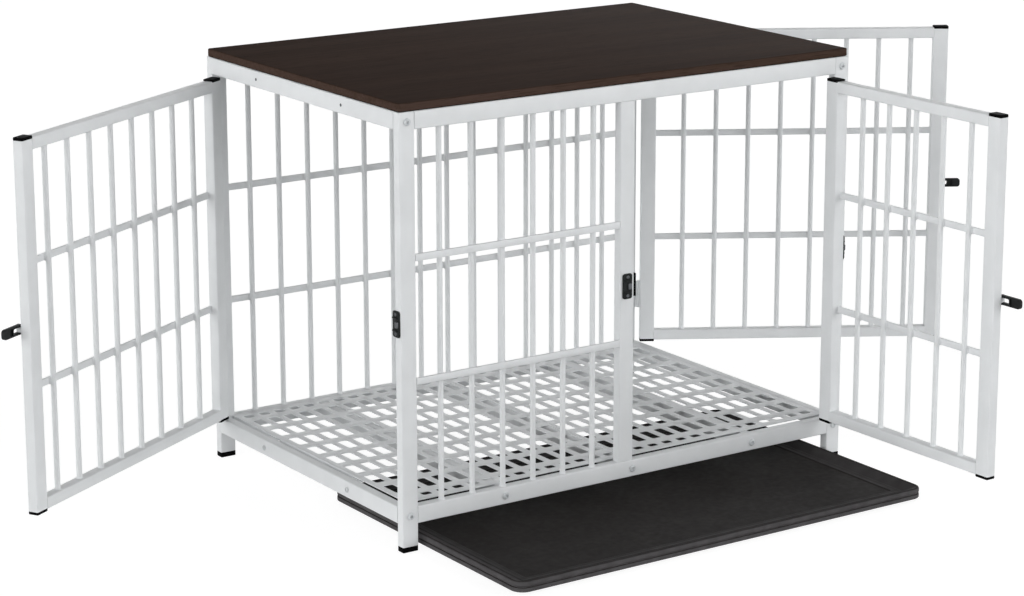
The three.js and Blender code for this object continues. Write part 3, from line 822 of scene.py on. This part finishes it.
def add_bolt(mesh, matrix, radius, high, socket):
    """A bolt head on the matrix's xy plane that looks along its z axis, with an undercut at its foot."""
    turns = [2 * math.pi * i / HEAD_SIDES for i in range(HEAD_SIDES)]
    rings = []
    for rise, share in HEAD_DOME:
        reach = radius * share
        rings.append([(reach * math.cos(t), reach * math.sin(t), high * rise) for t in turns])
    for across, rise in ((socket + SOCKET_CHAMFER, 0.98), (socket, 0.9), (socket, 0.3)):
        rings.append([(x, y, high * rise) for x, y in hexagon(across, HEAD_SIDES)])
    add_rings(mesh, [[matrix @ Vector(point) for point in ring] for ring in rings])


def facing(x, y, z, direction):
    """A matrix at the point whose z axis looks along the direction."""
    turned = Vector(direction).to_track_quat("Z", "Y").to_matrix().to_4x4()
    return Matrix.Translation((x, y, z)) @ turned


print("socket corners reach", round(max(math.hypot(*p) for p in hexagon(4, HEAD_SIDES)), 2), "mm")

# %% Bolts in posts and rails
POST_BOLT_X = 378.5
TOP_BOLT_Z, LOW_BOLT_Z = 604.5, 52.0
MEMBER_X = (-220.5, 0.0, 220.5)
FRAME_BOLT, SIDE_BOLT, SIDE_SCREW = (5.4, 3.0, 4.0), (4.2, 2.0, 3.6), (2.2, 0.8, 1.8)

bolts = bmesh.new()
for x in (-POST_BOLT_X, POST_BOLT_X):
    for z in (TOP_BOLT_Z, LOW_BOLT_Z):
        add_bolt(bolts, facing(x, front_face, z, (0, -1, 0)), *FRAME_BOLT)
for x in MEMBER_X:
    add_bolt(bolts, facing(x, front_face, LOW_BOLT_Z, (0, -1, 0)), *FRAME_BOLT)
keep(bolts, "frame_bolts", "frame", bolt_paint)

SIDE_FACE = 391.0
SCREW_Y = 119.0
for name, height, head, finish in (
    ("side_bolts", 51.5, SIDE_BOLT, bolt_paint),
    ("side_screws", 605.5, SIDE_SCREW, black_steel),
):
    screws = bmesh.new()
    for side in (-1, 1):
        for y in (-SCREW_Y, SCREW_Y):
            add_bolt(screws, facing(side * SIDE_FACE, y, height, (side, 0, 0)), *head)
    keep(screws, name, "frame", finish)
print("bolts and screws are in")

# %% [markdown]
# ## Doors
# A door is a small frame of 24 by 16 mm tube with rods and strips like the grilles. It is drawn closed,
# as a welder lays it on the bench, along an axis through its hinges, and then turned to where it stands
# open. Working on the bench keeps every line straight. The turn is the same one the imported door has.

# %% A door's own space
HINGE_OUT = 4.5
HINGE_GAP = 3.0
STILE_WIDE, DOOR_THICK, DOOR_RAIL_HIGH = 24.0, 16.0, 17.0
DOOR_LOW, DOOR_HIGH = 69.0, 588.5
CAP_THICK, CAP_LIP = 2.5, 1.8
PLUG_INSET, PLUG_DEEP = 1.6, 8.0
BAR_SHIFT = 5.0

DOORS = {
    "left": dict(out=-1, axis=(-395.5, 252.5), turn=-90 - 59.9, width=500.0, bars=8, pitch=52.9),
    "right": dict(out=1, axis=(395.5, 252.5), turn=-90 + 58.6, width=500.0, bars=8, pitch=52.9),
    "front": dict(out=1, axis=(364.5, -273.5), turn=180 + 91.4, width=357.5, bars=5, pitch=55.8),
}


def door_turn(door):
    """The matrix that takes a door from the bench to its hinges, standing open."""
    return Matrix.Translation((*door["axis"], 0)) @ Matrix.Rotation(math.radians(door["turn"]), 4, "Z")


def depth(door, inwards):
    """The bench's y for a depth measured inwards from the door's outer face."""
    return -door["out"] * (inwards + HINGE_OUT)


def depths(door, near, far):
    """The same for two depths, as a span."""
    return (depth(door, near), depth(door, far))


print("doors:", {name: door["turn"] for name, door in DOORS.items()})

# %% [markdown]
# ## Hinges
# Each door hangs on two welded hinges. The lower half belongs to the post and carries the pin, the upper
# half belongs to the door and turns round it. A leaf ties each barrel to its tube with a bead of weld.

# %% Hinge halves
HINGE_HALF = 22.0
HINGE_LEVELS = (143.0, 495.0)
BARREL_GAP = 0.2
LEAF_THICK, LEAF_LONG = 2.5, 13.0
PIN_RADIUS = 2.0
PIN_HEAD = [(0.0, 2.7), (0.7, 2.5), (1.1, 1.6)]
PIN_PROFILE = [(0, PIN_RADIUS), (2 * HINGE_HALF, PIN_RADIUS)]
PIN_PROFILE += [(2 * HINGE_HALF + rise, radius) for rise, radius in PIN_HEAD]


def add_hinge_half(mesh, barrel, along, out, start, span):
    """A barrel with its leaf. Along and out are unit steps in the plane, start is the face's distance."""
    add_turned(mesh, (*barrel, span[0]), "z", rod_profile(0, span[1] - span[0], 4.0, 0.5), 24)
    corner = Vector(barrel) + Vector(along) * start + Vector(out) * -HINGE_OUT
    far = corner + Vector(along) * (LEAF_LONG - start) + Vector(out) * LEAF_THICK
    add_beam(mesh, [(corner.x, far.x), (corner.y, far.y), span], "z", 0.6, 0.4, 2)
    root = Vector(barrel) + Vector(along) * 2.2 + Vector(out) * (-HINGE_OUT + 1.4)
    add_bead(mesh, (*root, sum(span) / 2), "z", (span[1] - span[0]) / 2 - 0.5, 2.4, 2.4)
    edge = Vector(barrel) + Vector(along) * LEAF_LONG + Vector(out) * (-HINGE_OUT + 0.5)
    add_bead(mesh, (*edge, sum(span) / 2), "z", 8.5, 1.3, 1.3)


POST_HINGES = {"left": ((0, 1), (-1, 0)), "right": ((0, 1), (1, 0)), "front": ((1, 0), (0, -1))}
for name, (along, out) in POST_HINGES.items():
    axis = DOORS[name]["axis"]
    for level, height in zip(("low", "high"), HINGE_LEVELS):
        half = bmesh.new()
        add_hinge_half(half, axis, along, out, 0.0, (height - HINGE_HALF, height - BARREL_GAP))
        node = f"{name}_hinge_{level}"
        keep(half, node + "_leaf", "frame", white_steel, [node])
        pin = bmesh.new()
        add_turned(pin, (*axis, height - HINGE_HALF), "z", PIN_PROFILE, 24)
        keep(pin, node + "_pin", "frame", white_steel)
print("hinges on the posts: 6")

# %% Door frames
LATCH_LEVEL = 326.0
PIVOT_INSET, PIVOT_OUT = 5.0, 6.5
KNUCKLE_HIGH = 6.0


def add_latch_bracket(mesh, door, end):
    """The welded arm and knuckle that hold the lever's pin."""
    x = end - PIVOT_INSET
    span = (LATCH_LEVEL - KNUCKLE_HIGH / 2, LATCH_LEVEL + KNUCKLE_HIGH / 2)
    add_beam(mesh, [(x - 3, x + 3), depths(door, -PIVOT_OUT, 0.3), span], "z", 0.8, steps=2)
    add_turned(mesh, (x, depth(door, -PIVOT_OUT), span[0]), "z", rod_profile(0, KNUCKLE_HIGH, 3.0, 0.3), 24)
    for side in (-3, 3):
        add_bead(mesh, (x + side, depth(door, -0.2), LATCH_LEVEL), "z", 2.8, 1.1, 1.1)


def door_frame(door):
    """Stiles, rails, bars, strips and hinge halves of one door on the bench."""
    start, end = HINGE_GAP / 2, HINGE_GAP / 2 + door["width"]
    inner = (start + STILE_WIDE, end - STILE_WIDE)
    y = depths(door, 0, DOOR_THICK)
    mesh = bmesh.new()
    for x in ((start, inner[0]), (inner[1], end)):
        add_beam(mesh, [x, y, (DOOR_LOW + CAP_LIP, DOOR_HIGH - CAP_LIP)], "z", TUBE_CORNER)
    rails = ((DOOR_LOW, DOOR_LOW + DOOR_RAIL_HIGH), (DOOR_HIGH - DOOR_RAIL_HIGH, DOOR_HIGH))
    for z in rails:
        add_beam(mesh, [(inner[0] - 0.5, inner[1] + 0.5), y, z], "x", TUBE_CORNER)
    bars = spaced(door["bars"], door["pitch"], sum(inner) / 2 + BAR_SHIFT)
    strip_y = depths(door, 0, STRIP_THICK)
    bar_ends = (rails[0][1] - 0.1, rails[1][0] + 0.1)
    add_grille(mesh, bars, depth(door, DOOR_THICK / 2), inner, strip_y, *bar_ends)
    for height in HINGE_LEVELS:
        span = (height + BARREL_GAP, height + HINGE_HALF)
        add_hinge_half(mesh, (0, 0), (1, 0), (0, door["out"]), start, span)
    add_latch_bracket(mesh, door, end)
    return mesh


for name, door in DOORS.items():
    piece = keep(door_frame(door), f"{name}_door_frame", f"{name}_door", white_steel,
                 [f"{name}_door"], door_turn(door))
    print(piece.name, "faces:", len(piece.data.polygons))

# %% Door caps
CAPS = {
    "top": ((DOOR_HIGH - CAP_LIP, DOOR_HIGH + CAP_THICK), (DOOR_HIGH - PLUG_DEEP, DOOR_HIGH + 1)),
    "bottom": ((DOOR_LOW - CAP_THICK, DOOR_LOW + CAP_LIP), (DOOR_LOW - 1, DOOR_LOW + PLUG_DEEP)),
}

for name, door in DOORS.items():
    start, end = HINGE_GAP / 2, HINGE_GAP / 2 + door["width"]
    stiles = {"hinge": (start, start + STILE_WIDE), "free": (end - STILE_WIDE, end)}
    for stile, x in stiles.items():
        for level, (lid, plug) in CAPS.items():
            cap = bmesh.new()
            add_beam(cap, [x, depths(door, 0, DOOR_THICK), lid], "z", TUBE_CORNER, 0.8)
            inner = (x[0] + PLUG_INSET, x[1] - PLUG_INSET)
            inner_y = depths(door, PLUG_INSET, DOOR_THICK - PLUG_INSET)
            add_beam(cap, [inner, inner_y, plug], "z", 0.6, steps=2)
            node = f"{name}_door_cap_{stile}_{level}"
            keep(cap, node + "_lid", f"{name}_door", black_plug, [node], door_turn(door))
print("door caps:", len(DOORS) * 2 * len(CAPS))

# %% [markdown]
# ## Latches
# A latch is a nylon lever, forked where it turns on its pin, with a rounded finger end. The fork leaves
# an open gap beyond the stile. On the side that faces the post there is a pocket that snaps over the nose
# of the keeper. The lever is a plate cut to shape, and the pocket is the one true boolean cut here.

# %% Latch levers
LEVER_HIGH, LEVER_THICK, LEVER_REACH = 14.0, 6.0, 31.0
FORK_GAP, FORK_DEPTH = 6.8, 14.5
NOSE_FROM_END = 15.0
POCKET_HALF_WIDE, POCKET_HALF_HIGH, POCKET_DEEP = 3.6, 5.1, 2.6


def arc(x, y, radius, start, steps=5):
    """A quarter circle of points about x, y, from the start angle in degrees, anticlockwise."""
    angles = [math.radians(start + 90 * step / steps) for step in range(steps + 1)]
    return [(x + radius * math.cos(a), y + radius * math.sin(a)) for a in angles]


def lever_outline():
    """The lever seen from the side, with its pin at zero."""
    tip, half, gap = LEVER_REACH + PIVOT_INSET, LEVER_HIGH / 2, FORK_GAP / 2
    low_side = [(-3.0, -half), *arc(tip - 4.5, -half + 4.5, 4.5, 270)]
    high_side = [*arc(tip - 4.5, half - 4.5, 4.5, 0), (-3.0, half), (-3.0, gap)]
    fork = [(FORK_DEPTH - 2, gap), *reversed(arc(FORK_DEPTH - 2, gap - 2, 2, 0)),
            *reversed(arc(FORK_DEPTH - 2, -gap + 2, 2, 270)), (-3.0, -gap)]
    return low_side + high_side + fork[1:]


def cut(mesh, cutter):
    """Takes the cutter's solid out of the mesh."""
    holders = []
    for part in (mesh, cutter):
        bmesh.ops.recalc_face_normals(part, faces=part.faces)
        data = bpy.data.meshes.new("for the cut")
        part.to_mesh(data)
        part.free()
        holders.append(bpy.data.objects.new("for the cut", data))
        scene.collection.objects.link(holders[-1])
    tool = holders[0].modifiers.new("cut", "BOOLEAN")
    tool.operation = "DIFFERENCE"
    tool.object = holders[1]
    graph = bpy.context.evaluated_depsgraph_get()
    data = bpy.data.meshes.new_from_object(holders[0].evaluated_get(graph))
    result = bmesh.new()
    result.from_mesh(data)
    for holder in holders:
        bpy.data.objects.remove(holder)
    bpy.data.meshes.remove(data)
    return result


for name, door in DOORS.items():
    lever = flat_plate(lever_outline(), [], LEVER_THICK, 0.8, 2)
    pocket = bmesh.new()
    nose = NOSE_FROM_END + PIVOT_INSET
    across = (nose - POCKET_HALF_WIDE, nose + POCKET_HALF_WIDE)
    upright = (-POCKET_HALF_HIGH, POCKET_HALF_HIGH)
    add_beam(pocket, [across, upright, (-1.0, POCKET_DEEP)], "z", 0.8, steps=2)
    lever = cut(lever, pocket)
    out = door["out"]
    end = HINGE_GAP / 2 + door["width"]
    stand = Matrix(((1, 0, 0, end - PIVOT_INSET), (0, 0, out, -out), (0, 1, 0, LATCH_LEVEL), (0, 0, 0, 1)))
    keep(lever, f"{name}_latch_lever", f"{name}_latch", grey_nylon,
         [f"{name}_door_latch"], door_turn(door) @ stand)
    pin = bmesh.new()
    half = LEVER_HIGH / 2
    head = [(half, 1.5), (half, 2.3), (half + 0.4, 2.3), (half + 0.6, 1.6)]
    profile = [(-rise, radius) for rise, radius in reversed(head)] + head
    add_turned(pin, (end - PIVOT_INSET, depth(door, -PIVOT_OUT), LATCH_LEVEL), "z", profile)
    keep(pin, f"{name}_latch_pin", f"{name}_door", black_steel, (), door_turn(door))
print("latches: 3")

# %% [markdown]
# ## Keepers and the bumper
# A keeper is a small nylon plate screwed to the post. A steel nose in it catches the lever's pocket, and
# two low cheeks guide the lever to it. Beside the middle post's keeper a soft black strip stops the front
# door. All three keepers are made flat on the bench and turned to their post, so they come out alike.

# %% Keepers and the bumper
KEEPER_THICK, KEEPER_CORNER, KEEPER_EDGE = 3.0, 3.5, 0.9
KEEPER_SCREW, KEEPER_SCREW_AT = (2.6, 1.0, 2.2), 13.6
CHEEK, CHEEK_OUT, CHEEK_MARGIN = (7.6, 10.4), 5.3, 2.0
NOSE_HALF_WIDE, NOSE_HALF_HIGH, NOSE_OUT = 3.0, 4.5, 5.5
LEVER_PAST_STILE = 5.0


def keep_keeper(node, stand, wide, high, nose_at):
    """One keeper, made flat with its nose beside its middle and turned to its post by the matrix."""
    plate = flat_plate(rounded_section(wide, high, KEEPER_CORNER, 4), [], KEEPER_THICK, KEEPER_EDGE, 2)
    across = (CHEEK_MARGIN - wide / 2, wide / 2 - CHEEK_MARGIN)
    for rise in ((-CHEEK[1], -CHEEK[0]), CHEEK):
        add_beam(plate, [across, rise, (0, CHEEK_OUT)], "z", 1.2, 1.0, 3)
    keep(plate, node + "_plate", "frame", grey_nylon, [node], stand)
    nose = bmesh.new()
    across = (nose_at - NOSE_HALF_WIDE, nose_at + NOSE_HALF_WIDE)
    add_beam(nose, [across, (-NOSE_HALF_HIGH, NOSE_HALF_HIGH), (0, NOSE_OUT)], "z", 1.2, 1.0, 3)
    keep(nose, node + "_nose", "frame", black_steel, turn=stand)
    screws = bmesh.new()
    for up in (-KEEPER_SCREW_AT, KEEPER_SCREW_AT):
        add_bolt(screws, facing(0, up, KEEPER_THICK - 0.2, (0, 0, 1)), *KEEPER_SCREW)
    keep(screws, node + "_screws", "frame", black_steel, turn=stand)


for name, side in (("left", -1), ("right", 1)):
    _, y, z = block_of(f"{name}_keeper")
    across, up = sum(y) / 2, sum(z) / 2
    nose_y = front_face + TUBE_THIN + LEVER_PAST_STILE - NOSE_FROM_END
    stand = Matrix(((0, 0, side, side * SIDE_FACE), (1, 0, 0, across), (0, 1, 0, up), (0, 0, 0, 1)))
    keep_keeper(f"{name}_keeper", stand, y[1] - y[0], z[1] - z[0], nose_y - across)

x, _, z = block_of("front_keeper")
across, up = sum(x) / 2, sum(z) / 2
nose_x = middle_post[0][1] + LEVER_PAST_STILE - NOSE_FROM_END
stand = Matrix(((1, 0, 0, across), (0, 0, -1, front_face), (0, 1, 0, up), (0, 0, 0, 1)))
keep_keeper("front_keeper", stand, x[1] - x[0], z[1] - z[0], nose_x - across)

bumper = bmesh.new()
add_beam(bumper, block_of("front_bumper"), "z", 1.2, 1.0, 3)
keep(bumper, "front_bumper_strip", "frame", black_plug, ["front_bumper"])
print("keepers: 3, bumper: 1")

# %% [markdown]
# ## The tray
# The tray is one sheet of plastic drawn down over a mould. Its rolled rim is 15 mm high with a groove
# round it. From there it slopes inwards to a flat ledge and steps down to the pan. A stack of rounded
# rectangles, each set in from the rim, follows that section, so corners blend like the real moulding.

# %% The tray
TRAY_CORNER, TRAY_INNER_CORNER = 19.0, 3.0
PAN_UNDER = [(36.0, 8.4), (34.0, 9.2), (22.6, 9.6)]
RIM_UNDER = [(6.0, 16.6), (4.6, 16.6), (4.4, 13.0), (3.6, 10.0), (2.4, 8.6)]
LIP = [(2.2, 5.0), (1.9, 4.75), (0.6, 4.75), (0.1, 5.2), (0.0, 6.0), (0.0, 9.6)]
GROOVE = [(0.2, 10.3), (0.9, 10.8), (1.9, 11.1), (2.1, 11.9), (1.7, 12.6), (0.7, 13.0), (0.15, 13.6)]
ROLL = [(0.0, 14.5), (0.0, 17.2), (0.25, 18.4), (0.9, 19.3), (1.9, 19.85), (3.0, 20.0)]
SLOPE = [(4.0, 19.7), (4.9, 19.0), (21.0, 12.1)]
FOOT_RIDGE = [(22.0, 11.8), (22.8, 12.2), (23.8, 12.5), (24.8, 12.2), (25.8, 11.8)]
PAN_STEP = [(31.5, 11.6), (32.4, 11.9), (33.4, 11.7), (34.2, 10.9), (35.2, 10.6), (36.5, 10.6)]
TRAY_SECTION = PAN_UNDER + RIM_UNDER + LIP + GROOVE + ROLL + SLOPE + FOOT_RIDGE + PAN_STEP
SKID_X = (-240.0, 0.0, 240.0)
SKID_HALF_WIDE, SKID_MARGIN, SKID_HIGH = 3.0, 45.0, 9.4


def tray_ring(long, deep, inset, z, middle_y):
    """One rounded rectangle of the tray's stack."""
    radius = max(TRAY_CORNER - inset, TRAY_INNER_CORNER)
    section = rounded_section(long - 2 * inset, deep - 2 * inset, radius, 8)
    return [(x, y + middle_y, z) for x, y in section]


x, y, _ = block_of("tray")
long, deep, middle_y = x[1] - x[0], y[1] - y[0], sum(y) / 2
pan = bmesh.new()
add_rings(pan, [tray_ring(long, deep, inset, z, middle_y) for inset, z in TRAY_SECTION])
for skid in SKID_X:
    across = (skid - SKID_HALF_WIDE, skid + SKID_HALF_WIDE)
    add_beam(pan, [across, (y[0] + SKID_MARGIN, y[1] - SKID_MARGIN), (0, SKID_HIGH)], "y", 1.5, 1.5, 3)
keep(pan, "tray_pan", "tray", tray_skin, ["tray"])
print("tray, mm:", round(long, 1), round(deep, 1))

# %% [markdown]
# ## Pieces that stay as packed
# The angle strips under the board and the floor are plain folded steel and mostly hidden, so their packed
# shapes stay and only get the powder coat. Giving them new meshes would add nothing to see.

# %% Pieces that stay as packed
kept = []
for name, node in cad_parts.items():
    if node.hide_render:
        continue
    node.data.materials.clear()
    node.data.materials.append(white_steel)
    kept.append(name)
print("kept as packed:", kept)
